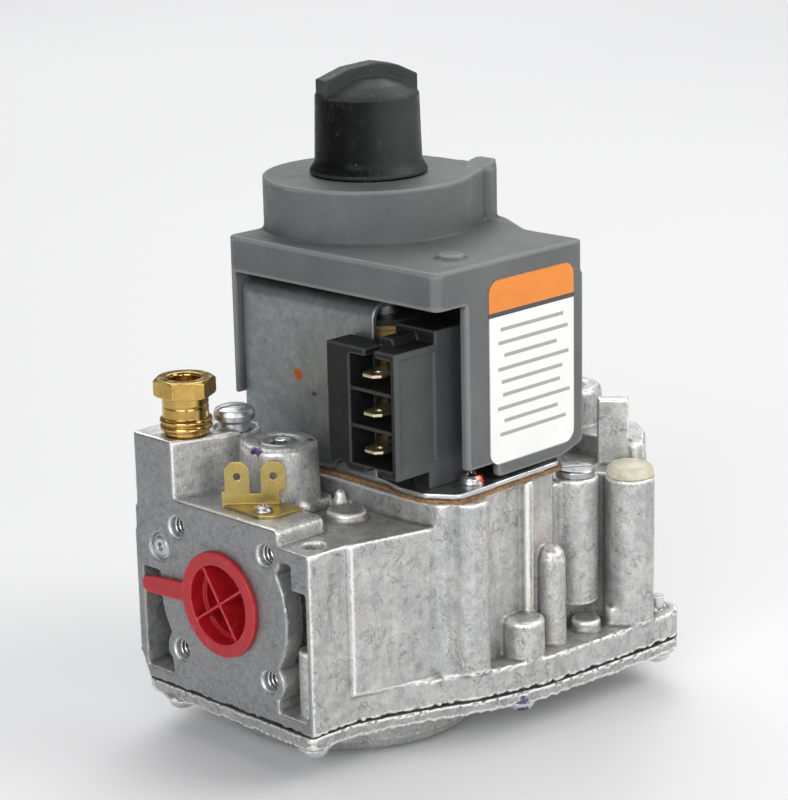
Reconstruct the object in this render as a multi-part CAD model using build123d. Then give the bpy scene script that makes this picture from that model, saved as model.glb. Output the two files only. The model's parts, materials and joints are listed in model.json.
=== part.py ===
from build123d import *
import math
import os

# Combination gas control for a heating appliance: die-cast body with a 3/4 in
# inlet and outlet, a diaphragm cover underneath and a covered electrical
# operator with an on/off knob on top.
# Frame: origin at the centre of the inlet port on the inlet face, +X along the
# gas flow (inlet to outlet), -Y towards the label side, +Z up. Millimetres.

os.makedirs("parts", exist_ok=True)

# ---------------------------------------------------------------- dimensions
L = 127.0                # inlet face to outlet face
PORT_R = 11.9            # 3/4 in pipe thread, tapping radius
BOLT_SQ = 33.8           # square of flange screws round each port
BOLT_R = 2.75            # tapped hole radius of the inlet flange screws
BOLT_R_OUT = 2.55        # tapped hole radius of the outlet flange screws
BOLT_DEPTH = 13.0
HALF_W = 32.8            # half width of the port blocks
Z_BASE = -27.9           # underside of the casting
Z_FLANGE = -20.4         # top of the bottom flange
Z_BOX = 20.0             # top of the inlet box
Z_LEDGE = 24.4           # top of the raised ledge over the inlet
Z_TOWER = 39.8           # top of the pilot outlet tower
Z_BOSS = 38.2            # top of the pressure tap bosses
Z_MID = 26.2             # machined top that carries the operator
Z_DECK = 20.7            # deck round the regulator
DIA_T = 0.4              # diaphragm sheet
COVER_T = 3.5            # rim of the diaphragm cover
Z_FOOT = -41.5           # lowest face of the diaphragm cover
MX, MY = 43.0, -1.0      # main valve axis
CHAM_R = 29.0            # diaphragm chamber radius
KX, KY = 70.0, 13.5      # knob axis
AX, AY = 54.0, 18.0      # pilot coil axis
BX, BY = 54.0, -7.0      # main coil axis
NX, NY = 8.6, 21.0       # pilot outlet axis
HX, HY = 23.5, 1.9       # inlet tap boss axis
OX, OY = 115.5, -16.5    # outlet tap boss axis
SX, SY = 21.4, 16.6      # pilot flow adjuster axis
RX, RY = 91.0, -41.0     # pressure regulator axis
CX, CY = 102.5, -50.5    # sealed column axis
GASKET_T = 0.8
PLATE_T = 1.5
Z_PLATE = Z_MID + GASKET_T + PLATE_T
SHELL_T = 2.2            # wall of the plastic cover
Z_SLAB = 86.2            # top of the cover's slab
Z_SKIRT = 76.4           # lower edge of the slab's skirt
Z_TURRET = 100.4         # top of the cover's turret
TURRET_R = 28.6
COVER_Y0, COVER_Y1 = -43.8, 33.0
COVER_X0, COVER_X1 = 35.6, 91.0
KNOB_R = 14.2
Z_RIM = 122.0
GRIP_ANGLE = -18.0
TAB_W = 6.35             # quick-connect tab width
TAB_T = 0.8
RUN = 0.05               # radial running clearance

C = Align.CENTER
M = Align.MIN


def box(x0, x1, y0, y1, z0, z1):
    return Pos(x0, y0, z0) * Box(x1 - x0, y1 - y0, z1 - z0, align=(M, M, M))


def cyl(x, y, z0, z1, r):
    return Pos(x, y, z0) * Cylinder(r, z1 - z0, align=(C, C, M))


def cone(x, y, z0, z1, r0, r1):
    return Pos(x, y, z0) * Cone(r0, r1, z1 - z0, align=(C, C, M))


def cylx(x0, x1, y, z, r):
    return Pos(x0, y, z) * Rot(0, 90, 0) * Cylinder(r, x1 - x0, align=(C, C, M))


def conex(x0, x1, y, z, r0, r1):
    return Pos(x0, y, z) * Rot(0, 90, 0) * Cone(r0, r1, x1 - x0, align=(C, C, M))


def rounded(pts):
    # closed outline of straight runs with a tangent arc at each corner: (x, y, radius)
    n = len(pts)
    corners = []
    for i in range(n):
        ax, ay = pts[i - 1][0], pts[i - 1][1]
        bx, by, r = pts[i]
        cx, cy = pts[(i + 1) % n][0], pts[(i + 1) % n][1]
        u = (ax - bx, ay - by)
        v = (cx - bx, cy - by)
        lu, lv = math.hypot(*u), math.hypot(*v)
        u = (u[0] / lu, u[1] / lu)
        v = (v[0] / lv, v[1] / lv)
        turn = math.acos(max(-1.0, min(1.0, -(u[0] * v[0] + u[1] * v[1]))))
        if r <= 0 or turn < 0.01:
            corners.append([(bx, by)])
            continue
        t = min(r * math.tan(turn / 2), 0.47 * min(lu, lv))
        r = t / math.tan(turn / 2)
        p0 = (bx + u[0] * t, by + u[1] * t)
        p2 = (bx + v[0] * t, by + v[1] * t)
        w = (u[0] + v[0], u[1] + v[1])
        lw = math.hypot(*w)
        k = (r / math.cos(turn / 2) - r) / lw
        corners.append([p0, (bx + w[0] * k, by + w[1] * k), p2])
    edges = []
    for i in range(n):
        c = corners[i]
        if len(c) == 3:
            edges.append(ThreePointArc(*c))
        a, b = c[-1], corners[(i + 1) % n][0]
        if math.hypot(a[0] - b[0], a[1] - b[1]) > 1e-6:
            edges.append(Line(a, b))
    return make_face(edges)


def outline(pts):
    return rounded(pts)


def prism(pts, z0, z1):
    return extrude(Pos(0, 0, z0) * outline(pts), amount=z1 - z0)


def prism_xz(pts, y0, y1):
    # outline given as (x, z, corner radius), extruded from y0 to y1
    return extrude(Plane(origin=(0, y0, 0), x_dir=(1, 0, 0), z_dir=(0, -1, 0)) * rounded(pts), amount=-(y1 - y0))


def prism_yz(pts, x0, x1):
    # outline given as (y, z, corner radius), extruded from x0 to x1
    return extrude(Plane(origin=(x0, 0, 0), x_dir=(0, 1, 0), z_dir=(1, 0, 0)) * rounded(pts), amount=x1 - x0)


def turned(x, y, pts):
    # solid of revolution about a vertical axis through (x, y); pts are (r, z)
    f = make_face(Polyline(*[(p[0], 0, p[1]) for p in pts], close=True))
    return Pos(x, y, 0) * revolve(f, Axis.Z, 360)


def hexagon(x, y, z0, z1, flats, turn=0.0):
    r = flats / math.sqrt(3)
    pts = [(x + r * math.cos(math.radians(turn + 60 * k)), y + r * math.sin(math.radians(turn + 60 * k))) for k in range(6)]
    return extrude(Pos(0, 0, z0) * make_face(Polyline(*pts, close=True)), amount=z1 - z0)


def soften(shape, edges, r):
    # round the given edges, stepping the radius down if the corner is tight
    for k in (1.0, 0.7, 0.45):
        try:
            out = fillet(edges, r * k)
            if out.is_valid and abs(out.volume - shape.volume) < 0.2 * shape.volume:
                return out
        except Exception:
            pass
    return shape


def ring_edges(shape, z, tol=0.02):
    return [e for e in shape.edges() if abs(e.bounding_box().min.Z - z) < tol and abs(e.bounding_box().max.Z - z) < tol]


def save(name, shape, colour=None):
    solids = list(shape.solids())
    part = solids[0] if len(solids) == 1 else Compound(children=solids)
    part.label = name
    export_step(part, f"parts/{name}.step")
    print(f"{name:28s} solids {len(solids)}  volume {sum(s.volume for s in solids):10.1f}")


# ---------------------------------------------------------------- valve body
FLANGE = [(0.0, -32.4, 1.5), (14.0, -33.3, 8), (27.0, -37.8, 14), (50.0, -48.2, 30), (66.0, -52.8, 30),
          (106.0, -56.4, 4), (119.6, -56.6, 6.5), (120.6, -43.0, 4), (127.0, -34.0, 2), (127.0, 34.0, 2),
          (120.6, 42.0, 5), (118.0, 49.0, 6), (104.0, 49.0, 5), (90.0, 45.5, 10), (72.0, 47.5, 8), (54.0, 47.5, 8),
          (36.0, 40.0, 10), (14.0, 34.0, 8), (0.0, 31.4, 3)]
SCREWS = [(4.9, -27.8), (3.9, 22.0), (62.5, -46.4), (113.2, -51.4), (63.0, 41.5), (111.5, 42.5)]

body = prism(FLANGE, Z_BASE, Z_FLANGE)
# inlet block, its front wall leaning out to the first panel
inlet = prism_yz([(-32.8, Z_BASE + 0.01, 0.8), (-32.8, Z_BOX, 1.4), (33.4, Z_BOX, 1.2), (34.0, -20.0, 4.0), (30.5, Z_BASE + 0.01, 1.0)], 0, 36)
body += inlet
body += prism([(0, -32.8, 0.8), (13.2, -33.4, 1.0), (13.2, -20, 0.5), (0, -20, 0.5)], Z_BASE + 0.01, Z_BOX)
# slanted second panel, standing a little proud of the first
body += prism([(13.2, -20, 0.4), (13.2, -34.2, 0.6), (38.8, -41.0, 2.0), (46.0, -43.0, 1.0), (46.0, -20, 0.5)], Z_FLANGE - 0.01, Z_BOX)
# middle block that carries the operator
MID = [(36.4, -9.0, 2.0), (36.2, -31.0, 2.5), (37.6, -42.2, 3.0), (46.0, -45.0, 2.0), (50.0, -42.8, 1.0), (80.0, -42.8, 1.5),
       (84.5, -36.0, 2.5), (84.5, -30.0, 2.0), (101.5, -30.0, 4.0), (101.5, 41.0, 5.0), (38.0, 41.0, 4.0), (36.4, 30.0, 2.0)]
body += prism(MID, Z_FLANGE - 0.01, Z_MID)
# outlet half with its deck
body += prism([(78.0, -41.0, 1.0), (97.0, -41.5, 2.0), (112.0, -48.0, 2.0), (120.8, -41.4, 2.0), (127.0, -33.4, 1.0),
               (127.0, 33.4, 1.0), (120.8, 40.0, 2.0), (78.0, 41.0, 2.0)], Z_FLANGE - 0.01, Z_DECK)
body += prism([(109.0, -46.6, 1.5), (112.4, -47.4, 1.5), (120.6, -41.2, 2.0), (126.9, -33.2, 1.0), (126.9, 33.0, 1.0), (120.0, 39.0, 2.0), (109.0, 39.0, 2.0)], Z_DECK - 0.01, 26.8)
body += cylx(112, L, 0, 0, 24.3)
# ledge over the inlet with a rounded nose along its front edge
ledge = prism_yz([(-21.8, Z_BOX - 0.5, 0.3), (-21.8, Z_LEDGE, 1.9), (19.0, Z_LEDGE, 0.3), (19.0, Z_BOX - 0.5, 0.3)], 0, 16.4)
body += ledge
body += prism([(15.5, -8.0, 1.5), (34.0, -8.0, 3.0), (34.0, 30.0, 2.0), (15.5, 30.0, 1.0)], Z_BOX - 0.5, 22.6)
# pilot tower
body += prism([(0, 17.6, 0.8), (14.5, 11.9, 2.0), (27.5, 10.6, 4.0), (28.5, 24.0, 4.0), (24.0, 33.2, 3.0), (0, 33.2, 1.5)], Z_BOX - 0.5, Z_TOWER)
# pressure tap bosses
for (bx, by, zt, zb) in ((HX, HY, Z_BOSS, Z_BOX - 0.5), (OX, OY, 37.4, Z_DECK - 0.5)):
    body += turned(bx, by, [(0, zb), (10.5, zb), (10.1, zt - 1.3), (9.5, zt - 0.35), (8.6, zt), (0, zt)])
body += box(104.5, 108.5, -20.0, -8.0, Z_DECK - 0.5, 34.0)
# low round pad, recessed drill spot and cast nub
body += turned(27.9, -18.0, [(0, Z_BOX - 0.5), (5.4, Z_BOX - 0.5), (5.2, 22.1), (4.8, 22.6), (0, 22.6)])
body += turned(33.2, -10.2, [(0, Z_BOX - 0.5), (2.4, Z_BOX - 0.5), (1.2, 24.6), (0, 25.2)])
body += turned(17.4, -13.4, [(0, Z_LEDGE - 0.5), (1.7, Z_LEDGE - 0.5), (1.7, 25.6), (1.1, 26.3), (0, 26.3)])
# front columns
body += cyl(46.4, -43.8, Z_FLANGE - 0.01, Z_MID, 5.1)
body += box(66.6, 69.6, -45.4, -41, Z_FLANGE - 0.01, Z_MID - 0.3)
body += turned(64.2, -46.2, [(0, Z_FLANGE - 0.1), (5.6, Z_FLANGE - 0.1), (5.4, -10.6), (4.6, -10.0), (0, -10.0)])
body += turned(75.9, -46.0, [(0, Z_FLANGE - 0.1), (3.7, Z_FLANGE - 0.1), (3.5, 3.2), (3.0, 5.0), (1.8, 6.4), (0, 6.8)])
body += cyl(RX, RY, -13.6, Z_DECK + 0.8, 6.3)
body += cyl(88.9, -46.6, Z_FLANGE - 0.1, -17.2, 3.9)
body += cyl(97.0, -49.6, Z_FLANGE - 0.1, -15.4, 2.3)
body += cyl(CX, CY, Z_FLANGE - 0.01, Z_DECK, 6.6)
body += prism([(98, -41, 0.5), (100, -49, 2), (108, -49, 2), (112, -41, 0.5)], Z_FLANGE - 0.01, Z_DECK)
# upright fin beside the sealed column
fin = prism([(103.6, -38.2, 0.4), (109.0, -44.8, 0.4), (111.8, -42.2, 0.4), (106.4, -35.6, 0.4)], Z_DECK - 0.5, 39.2)
body += fin
# screw columns inside and round the flange
body += cyl(SCREWS[4][0], SCREWS[4][1], Z_FLANGE - 0.1, -8, 4.8)
body += cyl(SCREWS[5][0], SCREWS[5][1], Z_FLANGE - 0.1, -8, 4.8)
body += cyl(113.0, -49.6, Z_FLANGE - 0.1, -19.4, 4.0)

# ---- hollows
# casting pockets on both sides of the inlet
right = box(-1, 24, -31.4, -20.2, -24.6, 16.4) - cylx(-2, 6, 0, 0, 24.3) - cylx(-2, 26, 0, 0, 17.5)
right -= cylx(-2, 16, -16.9, -16.9, 5.4) + cylx(-2, 16, -16.9, 16.9, 5.4) + cyl(5.2, -27.6, -28, -6.8, 3.3)
right -= box(-2, 9, -32, -26.2, 9.6, 18)
left = box(-1, 24, 20.4, 30.9, -24.6, 3.4) - cylx(-2, 6, 0, 0, 24.3) - cylx(-2, 26, 0, 0, 17.5)
left -= cylx(-2, 16, 16.9, -16.9, 5.4) + cyl(5.2, 20.4, -28, -6.8, 3.3)
body -= right
body -= left
# mirrored pockets at the outlet
for s in (-1, 1):
    p = box(107, 128, 20.4, 30.4, -18.0, 14.0) - cylx(100, 130, 0, 0, 24.3) - cylx(110, 130, 16.9, -16.9, 5.4) - cylx(110, 130, 16.9, 16.9, 5.4)
    body -= p if s > 0 else mirror(p, Plane.XZ)
# ports and flange screw holes
body -= cylx(-1, 18, 0, 0, PORT_R) + conex(-0.01, 1.4, 0, 0, PORT_R + 1.2, PORT_R)
body -= cylx(L - 18, L + 1, 0, 0, PORT_R) + conex(L - 1.4, L + 0.01, 0, 0, PORT_R, PORT_R + 1.2)
h = BOLT_SQ / 2
for sy in (-h, h):
    for sz in (-h, h):
        body -= cylx(-1, BOLT_DEPTH, sy, sz, BOLT_R) + conex(-0.01, 0.45, sy, sz, BOLT_R + 0.6, BOLT_R)
        body -= cylx(L - BOLT_DEPTH, L + 1, sy, sz, BOLT_R_OUT) + conex(L - 0.45, L + 0.01, sy, sz, BOLT_R_OUT, BOLT_R_OUT + 0.6)
body -= cylx(-1, 9, 24.2, 9.9, 2.6) + conex(-0.01, 1.0, 24.2, 9.9, 3.9, 3.6) + cylx(0.9, 2.2, 24.2, 9.9, 3.6)
# gas way: inlet chamber over the seat, outlet chamber under it
body -= cylx(17.5, 31, 0, 6.5, 5.0)
body -= cyl(MX, MY, 2.0, 15.5, 14.0)
body -= cyl(MX, MY, -1.5, 2.5, 8.0)
body -= cyl(MX, MY, -12.0, -1.0, 14.0)
body -= cylx(54.0, L - 17.5, 0, -5.0, 6.0)
body -= cyl(MX, MY, -16.5, -11.5, 2.0 + RUN)
body -= cyl(MX, MY, Z_BASE - 1, -16.0, CHAM_R)
body += cyl(MX, MY, 1.9, 2.6, 9.2) - cyl(MX, MY, 1.0, 3.0, 8.0)
# operator pockets: two coil valve seats and the gas cock
for (px, py) in ((AX, AY), (BX, BY)):
    body -= cyl(px, py, 18.2, Z_MID + 1, 8.0)
    body += cyl(px, py, 18.1, 20.4, 2.6)
    body -= cyl(px, py, 17.0, 21.0, 1.1)
body -= cyl(KX, KY, 15.0, Z_MID + 1, 7.4)
# regulator well, tap wells, pilot outlet, adjuster
body -= cyl(RX, RY, -9.0, 30, 4.6)
body -= cyl(HX, HY, 21.0, 50, 5.0) + cyl(HX, HY, 8.0, 22, 2.0) + cone(HX, HY, Z_BOSS - 0.9, Z_BOSS + 0.01, 5.0, 6.0)
body -= cyl(OX, OY, 20.0, 50, 5.0) + cyl(OX, OY, 9.0, 22, 2.0) + cone(OX, OY, 37.4 - 0.9, 37.41, 5.0, 6.0)
body -= cyl(NX, NY, 30.0, 50, 5.3) + cyl(NX, NY, 24.5, 31, 2.2) + cone(NX, NY, Z_TOWER - 0.6, Z_TOWER + 0.01, 5.3, 5.9)
body -= cyl(SX, SY, 31.0, 50, 3.3) + cyl(SX, SY, Z_TOWER - 1.0, 50, 5.6)
# tapped holes: ground screw, flange screws, operator screws, spot on the box top
body -= cyl(7.0, -9.4, 17.6, 30, 1.45)
for (sx, sy) in SCREWS:
    body -= cyl(sx, sy, Z_BASE - 1, -11.5, 2.05)
PLATE_SCREWS = [(51.5, -40.0), (95.5, -25.0), (91.0, 29.5), (43.6, 34.5)]
for (sx, sy) in PLATE_SCREWS:
    body -= cyl(sx, sy, 14.0, 30, 1.75)
body -= cyl(7.2, -27.2, 17.2, 30, 2.9)
body -= cyl(CX, CY, 10.0, 30, 3.0)
save("valve_body", body)

# ---------------------------------------------------------------- underside
z0 = Z_BASE - DIA_T
sheet = prism(FLANGE, z0, Z_BASE) - cyl(MX, MY, z0 - 1, Z_BASE + 1, 17.5)
for (sx, sy) in SCREWS:
    sheet -= cyl(sx, sy, z0 - 1, Z_BASE + 1, 2.4)
save("main_diaphragm", sheet)

z1 = z0 - COVER_T
cover = prism(FLANGE, z1, z0)
# rolled pan under the rim
pan = turned(MX + 0.5, MY - 0.6, [(0, Z_FOOT), (25.5, Z_FOOT), (29.5, Z_FOOT + 0.35), (32.6, Z_FOOT + 1.5), (35.0, Z_FOOT + 3.3),
                       (36.6, Z_FOOT + 5.6), (37.6, z1 + 0.4), (37.6, z0 - 0.6), (0, z0 - 0.6)])
cover += pan
cover -= cyl(MX, MY, Z_FOOT + 2.4, z0 + 1, CHAM_R - 2)
for (sx, sy) in SCREWS:
    cover += cone(sx, sy, z1 - 0.9, z1 + 0.1, 4.3, 4.8)
for (sx, sy) in SCREWS:
    cover -= cyl(sx, sy, z1 - 2, z0 + 1, 2.4)
save("diaphragm_cover", cover)

heads = []
zs = z1 - 0.9
for (sx, sy) in SCREWS:
    s = turned(sx, sy, [(0, zs - 2.9), (1.8, zs - 2.75), (3.1, zs - 2.0), (3.85, zs - 0.8), (3.95, zs), (2.0, zs), (2.0, -14.0), (0, -14.0)])
    s -= Pos(sx, sy, zs - 3.0) * Box(0.9, 4.2, 2.4, align=(C, C, C)) + Pos(sx, sy, zs - 3.0) * Box(4.2, 0.9, 2.4, align=(C, C, C))
    heads.append(s)
save("diaphragm_cover_screws", Compound(children=[x.solids()[0] for x in heads]))

# moving main valve: backing plate, stem and rubber-faced poppet
plate = turned(MX, MY, [(0, -29.4), (16.2, -29.4), (17.2, -28.6), (17.2, -27.4), (4.0, -27.4), (3.2, -26.2), (0, -26.2)])
plate -= cyl(MX, MY, -40, -20, 1.6)
save("diaphragm_backing_plate", plate)
stem = turned(MX, MY, [(0, -30.2), (2.4, -30.2), (2.4, -29.4), (1.6, -29.4), (1.6, -26.2), (2.0, -26.2), (2.0, 4.0), (3.2, 4.0),
                       (10.0, 4.0), (10.0, 5.2), (3.0, 5.2), (3.0, 8.0), (0, 8.0)])
save("main_valve_stem", stem)
seal = cyl(MX, MY, 2.65, 4.0, 10.4) - cyl(MX, MY, 0, 5, 2.0)
save("main_valve_seal", seal)


def coil_spring(x, y, z0, z1, r, wire, turns):
    # closed stack of rings joined by short risers: a plain spring body
    pitch = (z1 - z0 - wire) / turns
    path = Helix(pitch=pitch, height=z1 - z0 - wire, radius=r)
    sec = Plane(origin=path @ 0, z_dir=path % 0) * Circle(wire / 2)
    s = sweep(sec, path=path)
    return Pos(x, y, z0 + wire / 2) * s


save("main_valve_spring", coil_spring(MX, MY, 5.55, 15.35, 6.0, 0.9, 4.5))

# ---------------------------------------------------------------- inlet parts
screen = cylx(15.2, 16.0, 0, 0, PORT_R - 0.02) - cylx(15, 16.2, 0, 0, 9.6)
for k in range(-3, 4):
    w = math.sqrt(max(0.0, 9.9 ** 2 - (2.7 * k) ** 2))
    screen += box(15.35, 15.6, 2.7 * k - 0.25, 2.7 * k + 0.25, -w, w)
    screen += box(15.6, 15.85, -w, w, 2.7 * k - 0.25, 2.7 * k + 0.25)
save("inlet_screen", screen)

# push-in shipping plug: flanged cup, cross web and a pull tab
plug = cylx(-1.5, -0.05, 0, 0, 14.0) + conex(-0.06, 9.0, 0, 0, 11.8, 11.45)
plug -= cylx(-2.0, 7.8, 0, 0, 10.5)
plug += cylx(-0.9, 7.8, 0, 0, 10.6) - cylx(-2.0, 7.9, 0, 0, 9.4) - cylx(-2.0, 3.0, 0, 0, 10.6)
for a in (56.0, 146.0):
    plug += Pos(-1.0, 0, 0) * Rot(a, 0, 0) * Box(8.9, 0.75, 20.9, align=(M, C, C))
tab = prism_yz([(12.4, 3.0, 0.6), (25.6, 1.9, 2.0), (30.0, 1.0, 2.2), (30.2, -2.6, 2.2), (25.6, -3.0, 2.0), (12.4, -2.2, 0.6)], -1.5, -0.3)
tab -= cylx(-3, 1, 0, 0, 11.0)
plug += tab
save("shipping_plug", plug)

tip = cylx(0.95, 8.6, 24.2, 9.9, 2.55) + conex(0.45, 0.96, 24.2, 9.9, 2.2, 3.0) + cylx(0.95, 2.1, 24.2, 9.9, 3.45)
tip -= cylx(0.0, 2.0, 24.2, 9.9, 1.1)
save("bleed_screw", tip)

# ---------------------------------------------------------------- pilot outlet
zt = 54.9
nut = hexagon(NX, NY, 50.2, zt, 14.3, 26.9)
nut = nut & turned(NX, NY, [(0, 50.1), (7.7, 50.1), (8.3, 50.7), (8.3, zt - 0.7), (7.2, zt), (0, zt)])
nut += turned(NX, NY, [(0, 31.2), (4.6, 31.2), (5.2, 32.2), (5.2, 40.0), (6.0, 40.1), (6.0, 41.2), (6.7, 41.3), (6.9, 41.9), (6.7, 42.5), (6.3, 42.7), (6.8, 43.2),
                       (6.9, 43.8), (6.6, 44.3), (6.1, 44.5), (6.1, 47.2), (5.95, 47.6), (6.1, 48.0), (6.1, 50.3), (0, 50.3)])
nut -= cyl(NX, NY, 30, 60, 3.3) + cyl(NX, NY, 51.2, 60, 4.1) + cone(NX, NY, zt - 0.6, zt + 0.01, 4.1, 4.6)
save("pilot_compression_nut", nut)
ferrule = turned(NX, NY, [(3.3, 30.1), (5.1, 30.1), (4.8, 31.1), (3.3, 31.1)]) - cyl(NX, NY, 29, 32, 3.28)
save("pilot_ferrule", ferrule)

adj = turned(SX, SY, [(0, 32.0), (3.2, 32.0), (3.2, 38.9), (4.4, 38.9), (4.4, 41.3), (5.3, 41.9), (5.45, 43.4), (5.0, 44.6), (3.6, 45.2), (0, 45.4)])
adj -= Pos(SX, SY, 45.4) * Rot(0, 0, -20) * Box(11, 1.5, 3.0, align=(C, C, C))
save("pilot_adjust_cap", adj)


def tap_plug(x, y, z):
    p = turned(x, y, [(0, z - 9.0), (4.4, z - 9.0), (4.95, z - 8.0), (4.95, z - 0.55), (4.5, z - 0.2), (0, z - 0.2)])
    return p - hexagon(x, y, z - 4.6, z + 1, 4.9, 10.0) - cone(x, y, z - 0.8, z, 2.6, 3.4)


save("inlet_tap_plug", tap_plug(HX, HY, Z_BOSS))
save("outlet_tap_plug", tap_plug(OX, OY, 37.4))

# ---------------------------------------------------------------- ground tabs
gz = Z_LEDGE + 0.02
base = prism([(4.0, 2.9, 0.4), (3.6, -11.4, 1.2), (6.2, -14.4, 1.2), (17.4, -14.9, 0.5), (15.6, -8.7, 0.3), (14.5, -7.6, 0.3)], gz, gz + TAB_T)
base -= cyl(17.4, -13.4, 20, 30, 2.0) + cyl(7.0, -9.4, 20, 30, 1.75)
d = (math.cos(math.radians(-45)), math.sin(math.radians(-45)))
P = Plane(origin=(4.1, 3.0, gz), x_dir=(d[0], d[1], 0), z_dir=(-math.sin(math.radians(45)), -math.cos(math.radians(45)), 0))
web = [(0.0, 0.0), (14.9, 0.0), (14.9, 4.3), (16.5, 4.3), (16.5, 10.2), (15.0, 12.0), (11.7, 12.0), (10.15, 10.2), (10.15, 3.6),
       (7.25, 3.6), (7.25, 10.2), (5.7, 12.0), (2.4, 12.0), (0.9, 10.2), (0.9, 4.3), (0.0, 4.3)]
up = extrude(P * make_face(Polyline(*web, close=True)), amount=TAB_T)
for s in (4.07, 13.32):
    up -= P * (Pos(s, 8.2, -1) * Cylinder(0.95, 3, align=(C, C, M)))
save("ground_bracket", base + up)
gs = turned(7.0, -9.4, [(0, 18.2), (1.4, 18.2), (1.4, gz + TAB_T), (2.5, gz + TAB_T), (2.5, gz + TAB_T + 0.5), (2.1, gz + TAB_T + 1.2), (1.1, gz + TAB_T + 1.6), (0, gz + TAB_T + 1.7)])
gs -= Pos(7.0, -9.4, gz + TAB_T + 1.7) * Box(3.0, 0.6, 1.2, align=(C, C, C)) + Pos(7.0, -9.4, gz + TAB_T + 1.7) * Box(0.6, 3.0, 1.2, align=(C, C, C))
save("ground_screw", gs)

# ---------------------------------------------------------------- regulator
zr = Z_DECK + 0.8
cap = turned(RX, RY, [(0, 17.0), (4.5, 17.0), (4.5, zr + 0.02), (5.2, zr + 0.02), (5.3, zr + 1.6), (4.9, zr + 2.2), (0, zr + 2.3)])
cap -= Pos(RX, RY, zr + 2.3) * Rot(0, 0, -38) * Box(12, 1.2, 2.0, align=(C, C, C))
save("regulator_cap", cap)
ras = cyl(RX, RY, 11.0, 15.0, 4.55) - Pos(RX, RY, 15.0) * Box(7.0, 1.0, 2.0, align=(C, C, C))
save("regulator_adjust_screw", ras)
save("regulator_spring", coil_spring(RX, RY, -5.7, 10.8, 3.3, 0.9, 6.0))
rd = turned(RX, RY, [(0, -8.6), (4.3, -8.6), (4.3, -7.6), (2.2, -5.9), (0, -5.9)])
save("regulator_spring_seat", rd)

seal = turned(CX, CY, [(0, 11.0), (2.9, 11.0), (2.9, Z_DECK + 0.02), (6.3, Z_DECK + 0.02), (6.55, Z_DECK + 1.0), (6.2, Z_DECK + 2.2), (5.0, Z_DECK + 3.2),
                       (2.5, Z_DECK + 3.8), (0, Z_DECK + 3.9)])
seal -= prism([(103.0, -38.0, 0.2), (109.2, -45.6, 0.2), (112.4, -42.6, 0.2), (106.4, -35.0, 0.2)], Z_DECK - 1, 60)
save("sealing_plug", seal)

# ---------------------------------------------------------------- operator base
PLATE = [(38.6, -22.0, 6.0), (36.6, -29.0, 4.0), (36.6, -37.0, 5.0), (42.0, -45.2, 5.0), (80.6, -44.6, 3.0), (83.6, -40.0, 3.0),
         (84.0, -28.6, 2.0), (99.8, -28.6, 3.0), (99.8, 39.4, 4.0), (39.4, 39.4, 3.0)]
GASKET = [(37.8, -22.4, 6.0), (35.9, -29.2, 4.0), (35.9, -37.3, 5.0), (41.6, -45.8, 5.0), (81.4, -45.3, 3.0), (84.4, -40.2, 3.0),
          (84.8, -29.3, 2.0), (100.6, -29.3, 3.0), (100.6, 40.2, 4.0), (38.6, 40.2, 3.0)]


def operator_holes(s):
    s -= cyl(AX, AY, 20, 35, 6.0) + cyl(BX, BY, 20, 35, 6.0)
    for (sx, sy) in PLATE_SCREWS:
        s -= cyl(sx, sy, 20, 35, 1.9)
    return s


gk = operator_holes(prism(GASKET, Z_MID + 0.01, Z_MID + GASKET_T)) - cyl(KX, KY, 20, 35, 7.4)
save("operator_gasket", gk)
bp = operator_holes(prism(PLATE, Z_MID + GASKET_T, Z_PLATE)) - cyl(KX, KY, 20, 35, 4.0 + RUN)
save("operator_base_plate", bp)
ps = []
for (sx, sy) in PLATE_SCREWS:
    s = turned(sx, sy, [(0, 15.0), (1.7, 15.0), (1.7, Z_PLATE + 0.01), (3.3, Z_PLATE + 0.01), (3.3, Z_PLATE + 0.7), (3.1, Z_PLATE + 0.8), (3.1, Z_PLATE + 1.5), (2.5, Z_PLATE + 2.4),
                        (1.2, Z_PLATE + 2.8), (0, Z_PLATE + 2.9)])
    s -= Pos(sx, sy, Z_PLATE + 3.0) * Box(4.0, 0.8, 1.8, align=(C, C, C)) + Pos(sx, sy, Z_PLATE + 3.0) * Box(0.8, 4.0, 1.8, align=(C, C, C))
    ps.append(s.solids()[0])
save("operator_screws", Compound(children=ps))

# steel bracket over the coils: one bent strip
FR_Y0, FR_Y1 = -19.0, 30.4
ft = 1.5
outer = prism_xz([(38.0, Z_PLATE + 0.02, 0.2), (38.0, 74.6, 4.2), (87.0, 74.6, 4.2), (87.0, Z_PLATE + 0.02, 0.2)], FR_Y0, FR_Y1)
inner = prism_xz([(38.0 + ft, Z_PLATE - 1, 0.2), (38.0 + ft, 74.6 - ft, 2.7), (87.0 - ft, 74.6 - ft, 2.7), (87.0 - ft, Z_PLATE - 1, 0.2)], FR_Y0 - 1, FR_Y1 + 1)
bracket = outer - inner
bracket += box(83.5, 87.0, 6.0, 22.0, Z_PLATE + 0.02, Z_PLATE + 0.02 + ft)
bracket -= cyl(AX, AY, 70, 80, 5.7) + cyl(BX, BY, 70, 80, 5.7) + cyl(KX, KY, 70, 80, 5.0)
save("coil_bracket", bracket)

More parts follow.
